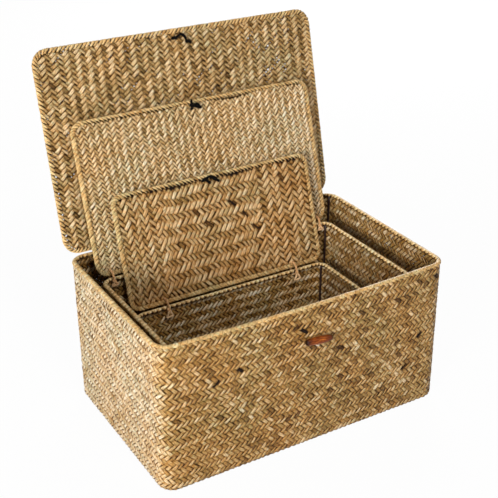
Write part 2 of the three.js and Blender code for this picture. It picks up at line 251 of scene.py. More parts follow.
def threadGroup():
    group, given, out = newGroup("threadFibre", ["Fine"], ["Tone", "Height"])
    strand = carried(group, "strand")
    parts = put(group, "SeparateXYZ", {0: strand}).outputs
    lay = times(group, parts[1], threads["lay"], times(group, parts[0], threads["turns"]))
    yarn = sums(group, "PINGPONG", times(group, lay, given["Fine"]), 1)
    hair = noise(group, strand, threads["hair"], 3)
    fuzz = sums(group, "SUBTRACT", hair, 0.5)
    rib = sums(group, "SUBTRACT", yarn, threads["yarnMiddle"])
    tone = times(group, fuzz, threads["fuzz"], carried(group, "tone", "Fac"))
    group.links.new(times(group, rib, threads["yarnShare"], tone), out["Tone"])
    group.links.new(times(group, hair, threads["hairHeight"], yarn), out["Height"])
    return group


threadFibre = threadGroup()


def threadMaterial(name, stops, fine=6, rough=0.85, sheen=0.2, gloss=0.5):
    material, tree = newMaterial(name)
    fibre = put(tree, "Group", {"Fine": fine}, node_tree=threadFibre).outputs
    addShader(tree, fibre["Height"], threads["relief"], {
        "Base Color": ramp(tree, fibre["Tone"], stops), "Roughness": rough, "Sheen Weight": sheen,
        "Specular IOR Level": gloss})
    return material


matStops = (0.0, 0.18, 0.34, 0.5, 0.72, 1.0)
edgeStops = stopsOf((0.0, 0.3, 0.6, 1.0), (60, 36, 12), (184, 146, 92), (222, 190, 138), (255, 238, 196))
threadStops = (0.0, 0.5, 1.0)

wallSeagrass = strandMaterial("wall seagrass", stopsOf(
    matStops, (24, 11, 2), (92, 61, 20), (156, 119, 63), (186, 152, 98), (220, 197, 162), (246, 234, 214)))
lidSeagrass = strandMaterial("lid seagrass", stopsOf(
    matStops, (26, 14, 2), (96, 69, 30), (162, 130, 80), (192, 162, 116), (223, 198, 160), (248, 233, 210)))
smallLidSeagrass = strandMaterial("small lid seagrass", stopsOf(
    matStops, (24, 10, 2), (95, 61, 22), (162, 122, 68), (194, 156, 106), (221, 190, 148), (244, 224, 194)))
edgeSeagrass = strandMaterial("edge seagrass", edgeStops, edgeShade=0.35)
rimSeagrass = strandMaterial("rim seagrass", edgeStops, edgeShade=0.05, crown=0.1)
juteTwine = threadMaterial(
    "jute twine", stopsOf(threadStops, (104, 58, 24), (222, 168, 110), (252, 222, 176)), sheen=0.05)
cottonCord = threadMaterial(
    "cotton cord", stopsOf(threadStops, (170, 156, 136), (222, 212, 196), (244, 238, 228)))
blackElastic = threadMaterial(
    "black elastic", stopsOf(threadStops, (4, 3, 2), (9, 7, 5), (20, 16, 12)),
    fine=9, rough=1, sheen=0, gloss=0.1)

coating = {"spots": (3, 0.12, 90), "rough": (0.35, 0.6), "relief": (0.2, 0.0002)}
lacquer = {"scale": 3.2, "stretch": 0.05, "distortion": 0.6, "rough": (0.22, 0.42), "relief": (0.12, 0.0003),
           "halfLength": 18, "endPower": 3}


def coatedWireMaterial():
    material, tree = newMaterial("coated wire")
    spots = noise(tree, carried(tree, "strand"), coating["spots"], 4)
    colour = ramp(tree, spots, stopsOf((0.3, 0.6, 0.8), (24, 11, 9), (46, 22, 17), (78, 44, 34)))
    addShader(tree, spots, coating["relief"], {
        "Base Color": colour, "Roughness": between(tree, spots, *coating["rough"]),
        "Coat Weight": 0.2, "Coat Roughness": 0.35})
    return material


def lacqueredWoodMaterial():
    material, tree = newMaterial("lacquered wood")
    parts = put(tree, "SeparateXYZ", {0: carried(tree, "strand")}).outputs
    around = times(tree, parts[0], 2 * math.pi)
    rings = put(tree, "CombineXYZ", {0: sums(tree, "COSINE", around), 1: sums(tree, "SINE", around),
                                     2: times(tree, parts[1], lacquer["stretch"])})
    grain = put(tree, "TexNoise", {"Vector": rings.outputs[0], "Scale": lacquer["scale"], "Detail": 6,
                                   "Distortion": lacquer["distortion"]}).outputs["Fac"]
    colour = ramp(tree, grain, stopsOf((0.25, 0.5, 0.72), (40, 11, 0), (118, 50, 6), (196, 112, 40)))
    # both ends are darker
    fromMiddle = times(tree, sums(tree, "ABSOLUTE", parts[1]), 1 / lacquer["halfLength"])
    ends = sums(tree, "POWER", fromMiddle, lacquer["endPower"])
    dark = put(tree, "Mix", {0: ends, 6: colour, 7: tint(26, 5, 0)}, data_type="RGBA")
    addShader(tree, grain, lacquer["relief"], {
        "Base Color": dark.outputs[2], "Roughness": between(tree, grain, *lacquer["rough"]),
        "Coat Weight": 0.08, "Coat Roughness": 0.14, "Specular IOR Level": 0.15})
    return material


coatedWire = coatedWireMaterial()
lacqueredWood = lacqueredWoodMaterial()
print("materials made")


# Meshes are bundles of tubes: rings of points, with the strand attributes beside them

def newBundle():
    return {"points": [], "strand": [], "tone": [], "quads": [], "caps": [], "count": 0}


def addTube(bundle, rings, around, along, own, tone, closed=False):
    steps, sides = rings.shape[:2]
    index = bundle["count"] + np.arange(steps * sides).reshape(steps, sides)
    low = index if closed else index[:-1]
    high = np.roll(index, -1, 0) if closed else index[1:]
    quads = np.stack([low, np.roll(low, -1, 1), np.roll(high, -1, 1), high], -1)
    bundle["quads"].append(quads.reshape(-1, 4))
    if not closed:
        bundle["caps"] += [index[0, ::-1], index[-1]]
    full = np.ones((steps, sides))
    strand = np.stack([full * around, full * along[:, None], full * own], -1)
    bundle["points"].append(rings.reshape(-1, 3))
    bundle["strand"].append(strand.reshape(-1, 3))
    bundle["tone"].append((full * tone).ravel())
    bundle["count"] += steps * sides


def makePiece(box, label, bundle, finish, bodyEnd, slotName, nodeEnd):
    name, body, nodes = box.name + label, box.name + bodyEnd, [box.name + nodeEnd]
    quads = np.concatenate(bundle["quads"])
    loops = np.concatenate([quads.ravel(), *bundle["caps"]])
    sizes = [4] * len(quads) + [len(cap) for cap in bundle["caps"]]
    mesh = bpy.data.meshes.new(name)
    mesh.vertices.add(bundle["count"])
    mesh.vertices.foreach_set("co", np.concatenate(bundle["points"]).ravel() / 1000)
    mesh.loops.add(len(loops))
    mesh.loops.foreach_set("vertex_index", loops.astype(np.int32))
    mesh.polygons.add(len(sizes))
    mesh.polygons.foreach_set("loop_start", (np.cumsum(sizes) - sizes).astype(np.int32))
    mesh.update(calc_edges=True)
    mesh.shade_smooth()
    for key, kind, field in (("strand", "FLOAT_VECTOR", "vector"), ("tone", "FLOAT", "value")):
        values = np.concatenate(bundle[key]).ravel()
        mesh.attributes.new(key, kind, "POINT").data.foreach_set(field, values)
    mesh.materials.append(finish)
    piece = addObject(name, mesh)
    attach(piece, body)
    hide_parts(*nodes)
    return piece


def unit(vectors):
    return vectors / np.linalg.norm(vectors, axis=-1, keepdims=True)


def runLengths(path):
    return np.concatenate([[0], np.cumsum(np.linalg.norm(np.diff(path, axis=0), axis=1))])


def evenly(path, spacing):
    run = runLengths(path)
    places = np.linspace(0, run[-1], max(int(round(run[-1] / spacing)), 2) + 1)
    return np.stack([np.interp(places, run, path[:, k]) for k in range(path.shape[1])], 1)


def smoothPath(points, spacing):
    # centripetal curve through the points
    p = np.asarray(points, float)
    p = np.vstack([2 * p[0] - p[1], p, 2 * p[-1] - p[-2]])
    fine = []
    for a, b, c, d in zip(p, p[1:], p[2:], p[3:]):
        k = np.cumsum([0] + [np.linalg.norm(v - u) ** 0.5 for u, v in ((a, b), (b, c), (c, d))])
        x = np.linspace(k[1], k[2], 24, endpoint=False)[:, None]

        def blend(first, second, i, j):
            return first + (second - first) * (x - k[i]) / (k[j] - k[i])
        ab, bc, cd = blend(a, b, 0, 1), blend(b, c, 1, 2), blend(c, d, 2, 3)
        fine.append(blend(blend(ab, bc, 0, 2), blend(bc, cd, 1, 3), 1, 2))
    return evenly(np.vstack(fine + [p[-2:-1]]), spacing)


def pathFrames(path, closed):
    ahead = np.roll(path, -1, 0) - np.roll(path, 1, 0) if closed else np.gradient(path, axis=0)
    heading = unit(ahead)
    side = np.zeros_like(path)
    leaning = (0.31, 0.2, 0.93) if abs(heading[0, 0]) > 0.7 else (0.97, 0.13, 0.2)
    side[0] = unit(np.cross(heading[0], leaning))
    for i in range(1, len(path)):
        side[i] = unit(side[i - 1] - heading[i] * (side[i - 1] @ heading[i]))
    return side, np.cross(heading, side)


def cordRing(side, up, sides):
    angle = np.linspace(0, 2 * math.pi, sides, endpoint=False)
    ring = side[:, None] * np.cos(angle)[:, None] + up[:, None] * np.sin(angle)[:, None]
    return ring, np.abs(np.linspace(-1, 1, sides, endpoint=False))


def roundCord(bundle, path, thick, sides=10, closed=False):
    ring, around = cordRing(*pathFrames(path, closed), sides)
    addTube(bundle, path[:, None] + ring * thick / 2, around, runLengths(path), chance.random(), plainTone,
            closed)


# reach and radius are shares of the cord's thickness
ply = {"count": 3, "sides": 6, "reach": 0.25, "radius": 0.28, "toneSpread": 0.08}


def plyCord(bundle, path, thick, twist, tone, closed=False):
    side, up = pathFrames(path, closed)
    run = runLengths(path)
    turns = round(run[-1] / twist) * np.arange(len(path)) / len(path) if closed else run / twist
    ring, around = cordRing(side, up, ply["sides"])
    for own in range(ply["count"]):
        place = 2 * math.pi * (turns + own / ply["count"])[:, None]
        centre = path + (side * np.cos(place) + up * np.sin(place)) * thick * ply["reach"]
        addTube(bundle, centre[:, None] + ring * thick * ply["radius"], around, run, chance.random(),
                tone + chance.normal(0, ply["toneSpread"]), closed)


def knotPath(at, size):
    t = np.linspace(0, 2 * math.pi, 60, endpoint=False)
    loops = np.stack([np.sin(t) + 2 * np.sin(2 * t), 1.3 * np.sin(3 * t), np.cos(t) - 2 * np.cos(2 * t)], 1)
    return np.asarray(at) + loops / 3 * size / 2


def thereAndBack(side, middle):
    # out along the mirrored side, round the middle and back along the other
    return [(-x, y, z) for x, y, z in side] + [middle] + side[::-1]


# places on the boxes and their lids

def lidToNest(box, points):
    turn = -math.radians(90 + box.lean)
    x, y, z = np.moveaxis(np.asarray(points, float), -1, 0)
    hinge = np.array(box.place) + (box.lidShift, box.depth / 2, box.height + fit)
    cos, sin = math.cos(turn), math.sin(turn)
    return np.stack([x, y * cos - z * sin, y * sin + z * cos], -1) + hinge


def onLid(box, x, y, z):
    # from the middle of the lid, where z counts up from its underside
    return lidToNest(box, np.stack([x, y - box.depth / 2, z], -1))


def outlineLength(width, depth, corner, inset):
    return 2 * (width + depth - 4 * corner) + 2 * math.pi * (corner - inset)


def roundOutline(width, depth, corner, inset, s):
    # point and outward normal at length s round a rounded rectangle, from the left end of its front
    half = np.array([width / 2 - corner, depth / 2 - corner])
    radius = corner - inset
    runs = np.array([2 * half[0], 2 * half[1]] * 2)
    starts = np.concatenate([[0], np.cumsum(runs + radius * math.pi / 2)])
    s = np.mod(s, starts[4])
    side = np.clip(np.searchsorted(starts, s, side="right") - 1, 0, 3)
    local = s - starts[side]
    angle = (side - 1) * math.pi / 2 + np.maximum(local - runs[side], 0) / radius
    normal = np.stack([np.cos(angle), np.sin(angle)], -1)
    ends = np.roll(fourCorners, -1, 0)[side] * half
    heading = np.array([(1, 0), (0, 1), (-1, 0), (0, -1)])[side]
    left = np.maximum(runs[side] - local, 0)
    return ends - heading * left[..., None] + radius * normal, normal


def bellied(box, xy, normal, z):
    # the large box's front wall bellies out towards the rim
    along = np.clip(xy[..., 0] / (box.width / 2 - box.corner), -1, 1)
    onFront = normal[..., 1] < -0.99999
    out = box.bow * np.clip(z, 0, None) / box.height * (1 - along ** 2)
    return np.stack([xy[..., 0], xy[..., 1] - np.where(onFront, out, 0), z], -1) + box.place


# the elastic loops are the free cords: out of two holes near the lid's front edge and along its top

elastic = {"thick": 2.6, "spread": 13, "edge": 11.9, "lift": 2.6, "knot": 4, "under": -1.8, "over": 4.9,
           "rise": 3.3, "turn": 2.6, "settle": 13, "apart": 0.5, "doubled": 0.85, "pressed": 0.06}

# what shows on the underside: strokes of cord and knots as (right, up) from the middle of the two holes
loopKnots = {
    "large": {"strokes": [[(-6.5, 0), (-3, 1.5), (1, 3.4), (4, 2.4), (6.5, 0), (8.5, -4.5), (10.5, -8)],
                          [(-6.5, 0), (-10, -0.6), (-12, 0.8)], [(10, -7), (12.5, -7.6), (14.5, -9.5)]],
              "knots": [(-7, 0), (9.8, -6.6)]},
    "medium": {"strokes": [[(-6.5, 0), (-6.2, 5), (-5.4, 12)], [(-6.2, 4), (-3, 4.4), (1, 5.4), (6.5, 0)],
                           [(-3, 4.4), (1, 2), (5.5, 0.4)]],
               "knots": [(-5.8, 5.2), (-3, 4.2)]},
    "small": {"strokes": [[(-6.5, 0), (-12, 6), (-7, 8.6), (-4, 8), (0, 5), (6.5, 0)],
                          [(-12, 6), (-16, 5), (-18, 5)], [(-1, 5.6), (2, 3.4), (4, 1.6)]],
              "knots": [(-13, 6.2), (0.6, 4.6)]},
}


def lidLoop(box):
    name = box.name
    carrier = "_lid", "elastic_cord", "_lid_loop"
    half, y = elastic["spread"] / 2, elastic["edge"] - box.depth
    under, over, lift = elastic["under"], elastic["over"], elastic["lift"]
    side = [(half, y, under), (half, y, elastic["rise"]), (half, y + elastic["turn"], over + lift),
            (half, y + elastic["settle"], over + lift / 3), (half, y + box.loopReach - half, over)]
    path = lidToNest(box, smoothPath(thereAndBack(side, (0, y + box.loopReach, over)), 0.8))
    cord = newBundle()
    roundCord(cord, path, elastic["thick"], sides=12)
    loop = makePiece(box, "LidLoop", cord, blackElastic, *carrier)
    ends = newBundle()
    for stroke in loopKnots[name]["strokes"]:
        for apart in (-elastic["apart"], elastic["apart"]):  # the elastic is doubled here
            points = [(right + apart, y - up - apart, under + 0.2 * apart) for right, up in stroke]
            stretch = lidToNest(box, smoothPath(points, 0.6))
            roundCord(ends, stretch, elastic["thick"] * elastic["doubled"])
    for right, up in loopKnots[name]["knots"]:
        knot = lidToNest(box, knotPath((right, y - up, under), elastic["knot"]))
        roundCord(ends, knot, elastic["thick"], sides=8, closed=True)
    knots = makePiece(box, "LoopKnots", ends, blackElastic, *carrier)
    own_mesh(knots)


for box in boxes:
    lidLoop(box)
print("elastic loops laid")


# plaiting: flat strands in two families, each over two and under two

plait = {
    "thick": 1.2, "wave": 0.56, "waveDrift": 0.06, "spread": 0.08, "widthDrift": 0.07, "wander": 0.35,
    "roll": 0.13, "gap": 3.6, "gapPush": 0.6, "gapNarrow": 0.52, "swayWaves": 5, "swayPace": 0.011,
    "toneSpread": 0.04, "patch": 0.04, "floatSpread": 0.1, "floatDark": 0.13, "floatPale": 0.13, "dip": 0.38,
    "oddShare": 0.03, "oddTones": [-0.16, 0.12], "insideFloats": (0.1, 1.5),
}
# half a strand's width and half its thickness are 1 here, with the crowned face up
strandSection = np.array([(1, -0.1), (0.72, 0.7), (0.25, 1), (-0.25, 1), (-0.72, 0.7), (-1, -0.1),
                          (-0.5, -1), (0.5, -1)])


def drift(count, size):
    # a random course that turns at about every second place
    knots = chance.normal(0, size, count // 2 + 3)
    return np.interp(np.arange(count) / 2 + chance.random(), np.arange(len(knots)), knots)


def layStrand(bundle, line, over, halfWidth, surface, tone, loose=(), inside=0.0, thick=plait["thick"],
              height=None, roll=plait["roll"]):
    # over is 1 where the strand is on top of the mat and -1 where it dips under; the face that dips is
    # painted darker, as painted shade
    count = len(line)
    run = np.cumsum(np.diff(np.sign(over), prepend=np.sign(over[0])) != 0)
    floats = chance.normal(0, plait["floatSpread"], run[-1] + 1)
    tone = tone + np.clip(floats, -plait["floatDark"], plait["floatPale"])[run]
    if height is None:
        height = over * plait["wave"] + drift(count, plait["waveDrift"])
    ahead = unit(np.gradient(line, axis=0))
    across = np.stack([-ahead[:, 1], ahead[:, 0]], 1)
    for place in loose:  # strands part a little where light comes through
        away = line - place
        near = np.exp(-(away ** 2).sum(1) / plait["gap"] ** 2)
        push = np.tanh((away * across).sum(1)) * near * plait["gapPush"]
        line = line + across * push[:, None]
        halfWidth = halfWidth * (1 - plait["gapNarrow"] * near)
    reach = np.reshape(halfWidth, (-1, 1)) * strandSection[:, 0]
    lean = drift(count, roll)[:, None]
    lift = np.reshape(height, (-1, 1)) + thick / 2 * strandSection[:, 1] + lean * reach
    flat = line[:, None] + across[:, None] * reach[..., None]
    rings = surface(flat[..., 0], flat[..., 1], lift)
    dipped = np.clip(-np.reshape(over, (-1, 1)) * strandSection[:, 1], 0, 1)
    # painted highlights on the inner face, changing from float to float
    inner = inside * chance.uniform(*plait["insideFloats"], run[-1] + 1)[run]
    shade = inner[:, None] * np.clip(-strandSection[:, 1], 0, 1) - plait["dip"] * dipped
    addTube(bundle, rings, strandSection[:, 0], runLengths(line), chance.random(), tone[:, None] + shade)


def swayOf(size, around=None):
    # slow waves that shift both families alike, closing on themselves round a wall
    waves = []
    for _ in range(plait["swayWaves"]):
        across, up = chance.normal(0, plait["swayPace"], 2)
        if around:
            across = round(across * around) / around
        waves.append((across, up, chance.random(2), chance.normal(0, size, 2)))

    def sway(points):
        shift = np.zeros_like(points)
        for across, up, start, reach in waves:
            angle = 2 * math.pi * (points[:, :1] * across + points[:, 1:] * up + start)
            shift += reach * np.sin(angle)
        return points + shift
    return sway


def darkenFloats(strands, stains, face):
    # tone to take off each strand: each mark darkens the nearest float that shows on this face
    loss = [np.zeros(len(line)) for line, _ in strands]
    for x, y, dark in stains:
        best = []
        for own, (line, over) in enumerate(strands):
            on = np.flatnonzero((face * over[:-1] > 0) & (face * over[1:] > 0))
            if len(on):
                away = np.hypot(*((line[on] + line[on + 1]) / 2 - (x, y)).T)
                best.append((away.min(), own, on[away.argmin()]))
        _, own, first = min(best)
        loss[own][first:first + 2] = dark
    return loss


def strandTone(count, middle=plainTone):
    tone = middle + chance.normal(0, plait["toneSpread"])
    if chance.random() < plait["oddShare"]:
        tone += chance.choice(plait["oddTones"])
    return tone + drift(count, plait["patch"])


def strandWidth(count, least):
    return np.maximum(1 + chance.normal(0, plait["spread"]) + drift(count, plait["widthDrift"]), least)


def wallSurface(box):
    foot = footRadius - mat / 2

    def surface(s, t, n):
        # below zero t goes round the foot and in under the floor
        bend = np.clip(-t / foot, 0, math.pi / 2)
        under = np.maximum(-t - foot * math.pi / 2, 0)
        xy, normal = roundOutline(*box.plan, wallMid, s)
        out = foot * (np.cos(bend) - 1) + n * np.cos(bend) - under
        z = footRadius + np.maximum(t, 0) - (foot + n) * np.sin(bend)
        return bellied(box, xy + normal * out[..., None], normal, z)
    return surface


walls = {
    "pitch": 4.9, "covers": {1: 0.94, -1: 1.1}, "leastWidth": 0.97, "middle": {1: 0.5, -1: 0.47},
    "tuck": 9, "sway": 0.4, "belowRim": 3, "frontPlace": 200, "stainWidth": 0.62, "stainDark": 0.15,
    # painted light: the left wall's tone is raised for the light that falls on it, less so near the foot
    "fade": {"large": 0.3}, "fadeWidth": 25, "footDull": 0.3, "footReach": 70,
    # painted light added to the tone of the inner face, for the rising and the falling strands: the falling
    # strands get painted highlights and the rising ones a little painted shade
    "inside": {"large": {1: -0.06, -1: 0.2}, "medium": {1: -0.06, -1: 0.2}, "small": {1: -0.06, -1: 0.36}},
    # dark floats as (from the middle, height, how dark), rising then falling
    "stains": {"large": {
        1: [(-130, 131, 0.7), (160, 97, 0.7), (-24, 173, 0.35), (141, 67, 0.4), (114, 39, 0.22),
            (101, 28, 0.22), (165, 169, 0.32), (144, 152, 0.35)],
        -1: [(-97, 137, 0.6), (-13, 162, 0.6), (39, 84, 0.3), (38, 127, 0.2), (-140, 81, 0.1),
             (127, 169, 0.25), (140, 159, 0.3), (152, 161, 0.4), (156, 176, 0.35), (66, 172, 0.16),
             (80, 152, 0.16), (30, 69, 0.16)]}},
}


def weaveWalls(box):
    name = box.name
    around = outlineLength(*box.plan, wallMid)
    count = round(around / (walls["pitch"] * math.sqrt(2)))
    cell = around / count
    top = box.height - walls["belowRim"] - footRadius
    rows = np.arange(-math.ceil(walls["tuck"] / (cell / 2)), math.ceil(top / (cell / 2)) + 1)
    t = np.minimum(rows * cell / 2, top)
    over = np.where(rows % 4 < 2, 1, -1)
    leftMiddle = around - (box.depth / 2 - box.corner) - (box.corner - wallMid) * math.pi / 2
    surface = wallSurface(box)
    sway = swayOf(walls["sway"], around)
    for lean, label in ((1, "Rising"), (-1, "Falling")):
        strands = []
        for i in range(count):
            line = sway(np.stack([cell * i + lean * t, t], 1))
            line = np.stack([line[:, 0] + drift(len(t), plait["wander"]), np.minimum(line[:, 1], top)], 1)
            # lengths are counted so that dark marks on the front find every strand
            shift = np.round((line[:, 0].mean() - walls["frontPlace"]) / around) * around
            strands.append((line - (shift, 0), lean * over))
        stains = [(x + box.width / 2 - box.corner, z - footRadius, dark)
                  for x, z, dark in walls["stains"].get(name, {}).get(lean, [])]
        bundle = newBundle()
        for (line, _), loss in zip(strands, darkenFloats(strands, stains, 1)):
            half = walls["pitch"] / 2 * walls["covers"][lean] * strandWidth(len(t), walls["leastWidth"])
            half = half * np.where(loss > walls["stainDark"], walls["stainWidth"], 1)
            # painted light: the left wall is painted paler, less so near the foot
            fromLeft = np.abs((line[:, 0] - leftMiddle + around / 2) % around - around / 2)
            past = (fromLeft - box.depth / 2 + box.corner) / walls["fadeWidth"]
            dull = walls["footDull"] * np.clip(1 - line[:, 1] / walls["footReach"], 0, 1)
            leftLit = walls["fade"].get(name, 0) * np.clip(1 - past, 0, 1) * (1 - dull)
            tone = strandTone(len(t), walls["middle"][lean]) + leftLit - loss
            layStrand(bundle, line, lean * over, half, surface, tone, inside=walls["inside"][name][lean])
        makePiece(box, "Wall" + label, bundle, wallSeagrass, "_box", "seagrass", "_woven_body")


def runOut(line, inside):
    # lengthens a strand at both ends as far as the edge allows
    ends = []
    for last, before in ((line[0], line[1]), (line[-1], line[-2])):
        reach = [share for share in np.linspace(0.1, 1, 10) if inside(last + (last - before) * share)]
        ends.append(last + (last - before) * max(reach, default=0.05))
    return np.vstack([ends[0], line, ends[1]])


flats = {"leastWidth": 0.95, "stainDark": 0.3, "frontReach": 8, "frontDark": 0.9, "endDark": 0.35,
         "floorInset": 6, "lidInset": 4.2}


def weaveFlat(bundles, plan, inset, spec, surface):
    width, depth, corner = plan
    a, b = spec["lattice"]
    span = math.ceil(a * width / 2 + b * depth / 2) + 1
    other = np.arange(-span, span + 1)
    pitch = 1 / math.hypot(a, b)
    sway = swayOf(spec["sway"])

    def inside(points):
        q = np.abs(points) - (width / 2 - corner, depth / 2 - corner)
        return np.hypot(*np.maximum(q, 0).T) + np.minimum(q.max(-1), 0) < corner - inset
    for family in (0, 1):
        strands = []
        for own in range(-span, span + 1):
            i, j = (own, other) if family == 0 else (other, own)
            line = np.stack([(i - j) / (2 * a), (i + j + 1) / (2 * b)], 1)
            line[:, 0] += spec["widen"] * (line[:, 0] ** 2 * 2 / width - width / 2)
            keep = inside(line)
            if keep.sum() < 2:
                continue
            low, high = spec["across"]
            bands = np.where((line[:, 0] > low) & (line[:, 0] < high), i + j, i - j)
            over = np.where((bands % 4 < 2) == (family == 0), 1.0, -1.0)[keep]
            line = runOut(line[keep], inside)
            line = sway(line) + drift(len(line), plait["wander"])[:, None]
            strands.append((line, np.concatenate([[0], over, [0]])))
        for (line, over), loss in zip(strands, darkenFloats(strands, spec["stains"][family], -1)):
            half = pitch / 2 * spec["covers"][family] * strandWidth(len(line), flats["leastWidth"])
            half = half * np.where(loss > flats["stainDark"], spec["stainWidth"], 1)
            half = half * (1 + spec["widen"] * line[:, 0] * 2 / width)
            tone = strandTone(len(line), spec["tone"] + spec["families"][family]) - loss
            # painted highlight: the mat is painted paler towards its right side
            tone += spec["slope"] * np.clip(line[:, 0] / width * 2, 0, 1) ** 2
            # painted shade: both ends are darkened where they go under the wraps, most of all along the front
            atFront = line[[0, -1], 1] < flats["frontReach"] - depth / 2
            tone[[0, -1]] -= np.where(atFront, flats["frontDark"], flats["endDark"])
            layStrand(bundles[family], line, over, half, surface, tone, spec["gaps"])


# lattice counts strands per millimetre, and across is the stretch whose bands of floats run sideways;
# dark marks are as in the walls, for the rising and the falling strands, and gaps are (x, y) from the middle
plainMat = {"across": (0, 0), "sway": 0.6, "widen": 0, "slope": 0, "stains": ([], []), "stainWidth": 1,
            "gaps": [], "families": (0.13, -0.05)}
floors = {**plainMat, "lattice": (0.1443, 0.1443), "across": (-999, 999), "sway": 0.4, "covers": (1, 1),
          "tone": 0.5, "families": (0.1, 0)}


def weaveFloor(box):
    bundle = newBundle()

    def surface(x, y, n):
        return np.stack([x, y, mat / 2 + n], -1) + box.place
    weaveFlat([bundle, bundle], box.plan, flats["floorInset"], floors, surface)
    makePiece(box, "Floor", bundle, wallSeagrass, "_box", "seagrass", "_woven_body")


lids = {
    "large": {**plainMat, "lattice": (0.135, 0.146), "sway": 0.7, "covers": (1.16, 0.78), "tone": 0.47,
              "finish": lidSeagrass,
              "stains": ([(-70, -70, 0.2), (-125, -40, 0.2)], [(9, -103, 0.25)]),
              "gaps": [(100, -101), (109, -95), (116, -87), (128, -87), (121, -61), (125, -54), (142, -65),
                       (150, -57), (118, -48), (152, -49), (2, -68), (22, -55)]},
    "medium": {**plainMat, "lattice": (0.18, 0.158), "covers": (1.16, 0.8), "tone": 0.6, "slope": 0.18,
               "finish": lidSeagrass, "stains": ([(93, -36, 0.2), (85, -24, 0.2)], [])},
    "small": {**plainMat, "lattice": (0.134, 0.104), "across": (-88, 62), "widen": 0.07,
              "covers": (1.12, 0.86), "tone": 0.535, "families": (0.11, -0.02), "finish": smallLidSeagrass,
              "stains": ([(-40, 20, 0.15)],
                         [(20, -26, 0.6), (40, -5, 0.6), (57, 13, 0.5), (-29, -26, 0.22), (-12, -4, 0.22),
                          (6, 13, 0.22), (21, 29, 0.22), (44, 48, 0.22)]), "stainWidth": 0.45},
}


def weaveLid(box):
    spec = lids[box.name]
    bundles = [newBundle(), newBundle()]

    def surface(x, y, n):
        return onLid(box, x, y, lidMid + n)
    weaveFlat(bundles, box.lidPlan, flats["lidInset"], spec, surface)
    for label, bundle in zip(("Rising", "Falling"), bundles):
        makePiece(box, "Lid" + label, bundle, spec["finish"], "_lid", "seagrass", "_lid_panel")


for box in boxes:
    weaveWalls(box)
    weaveFloor(box)
    weaveLid(box)
    print(box.name, "box plaited")


# edges: strands folded over the rims and round the lids' wires
# places are shares of the way over the edge, from the outer end of a wrap to the inner
wraps = {"points": 16, "bendPoints": 13, "step": 0.6, "inset": 0.4, "placeSpread": 0.05, "widthSpread": 0.05,
         "roll": 0.04, "endShare": 5, "endDip": 1.5, "plainCover": 1.12, "lidReach": 6.6,
         "coverPlaces": (0.18, 0.3, 0.7, 0.82), "shadePlaces": (0.625, 0.875), "crestWidth": 0.015}
rimEdge = {"pitch": 6.93, "slant": -0.85, "cover": 1.4, "endCover": 1.2, "insideCover": 0.62, "tuck": 0.5,
           "thick": 0.6, "rough": 0.03, "outerLeg": 3.4, "innerLeg": 4.0, "shoulder": 3, "crown": 2.6,
           "innerShade": 0.58, "teeth": "all round", "crest": {"large": 0.2, "medium": 0.56, "small": 0.5}}
innerLidEdge = {"pitch": 5.3, "slant": 0.8, "tuck": 0.9, "thick": 0.8, "rough": 0.05, "crest": 0.08,
                "innerShade": 0, "teeth": "front"}
lidEdges = {
    "large": {"pitch": 5.4, "slant": -0.8, "cover": 0.98, "endCover": 0.72, "insideCover": 0.72, "tuck": 1.0,
              "thick": 0.9, "rough": 0.08, "crest": 0.08, "innerShade": 0, "teeth": "all round"},
    "medium": {**innerLidEdge, "cover": 1.2, "endCover": 0.36, "insideCover": 0.36},
    "small": {**innerLidEdge, "cover": 1.16, "endCover": 0.4, "insideCover": 0.4},
}


def windEdge(plan, profile, placed, spec, crest):
    # the profile's points are (out, up), and out is negative inside the outline;
    # teeth are the dark notches between the wraps' ends, all round or along the front alone
    profile = evenly(np.vstack(profile), wraps["step"])
    run = runLengths(profile)
    total = run[-1]
    ahead = unit(np.gradient(profile, axis=0))
    columns = *profile.T, ahead[:, 1], -ahead[:, 0]

    def surface(s, u, n):
        out, up, facingOut, facingUp = (np.interp(u, run, column) for column in columns)
        xy, normal = roundOutline(*plan, 0, s)
        return placed(xy + normal * (out + n * facingOut)[..., None], normal, up + n * facingUp)
    bundle = newBundle()
    front = plan[0] - 2 * plan[2]
    length = outlineLength(*plan, 0)
    count = round(length / spec["pitch"])
    u = np.linspace(0, total, wraps["points"])
    middle = 1 - np.abs(2 * u / total - 1)
    ends = np.clip(1 - middle * wraps["endShare"], 0, 1)
    full = spec["pitch"] / 2 / math.hypot(1, spec["slant"])
    covers = [spec["endCover"], spec["cover"], spec["cover"], spec["insideCover"]]
    toothed = np.interp(u / total, wraps["coverPlaces"], covers)
    # painted shade darkens the inner flank, and a painted highlight lightens the crest
    shade = np.interp(u / total, wraps["shadePlaces"], (0, spec["innerShade"]))
    shade = shade - crest * np.exp(-(u / total - 0.5) ** 2 / wraps["crestWidth"])
    for i in range(count):
        place = (i + 0.5 + chance.normal(0, wraps["placeSpread"])) * length / count
        s = place + spec["slant"] * (total / 2 - u)
        height = chance.normal(0, spec["rough"]) - spec["tuck"] * ends
        notched = spec["teeth"] == "all round" or s[len(u) // 2] < front
        half = full * (toothed if notched else wraps["plainCover"])
        half = half * (1 + chance.normal(0, wraps["widthSpread"]))
        layStrand(bundle, np.stack([s, u], 1), 1 - wraps["endDip"] * ends, half, surface,
                  strandTone(len(u)) - shade, thick=spec["thick"], height=height, roll=wraps["roll"])
    return bundle


def bindRim(box):
    inset = wraps["inset"]
    half, crown = rimWidth / 2 - inset, rimEdge["crown"]
    arch = np.linspace(0, math.pi, wraps["bendPoints"])
    over = np.stack([-rimWidth / 2 + half * np.cos(arch), -rimEdge["shoulder"] + crown * np.sin(arch)], 1)
    profile = [(-inset, -rimEdge["outerLeg"]), over, (-rimWidth + inset, -rimEdge["innerLeg"])]

    def placed(xy, normal, up):
        return bellied(box, xy, normal, box.height + up)
    bundle = windEdge(box.plan, profile, placed, rimEdge, rimEdge["crest"][box.name])
    makePiece(box, "RimEdge", bundle, rimSeagrass, "_box", "edge_seagrass", "_rim_binding")


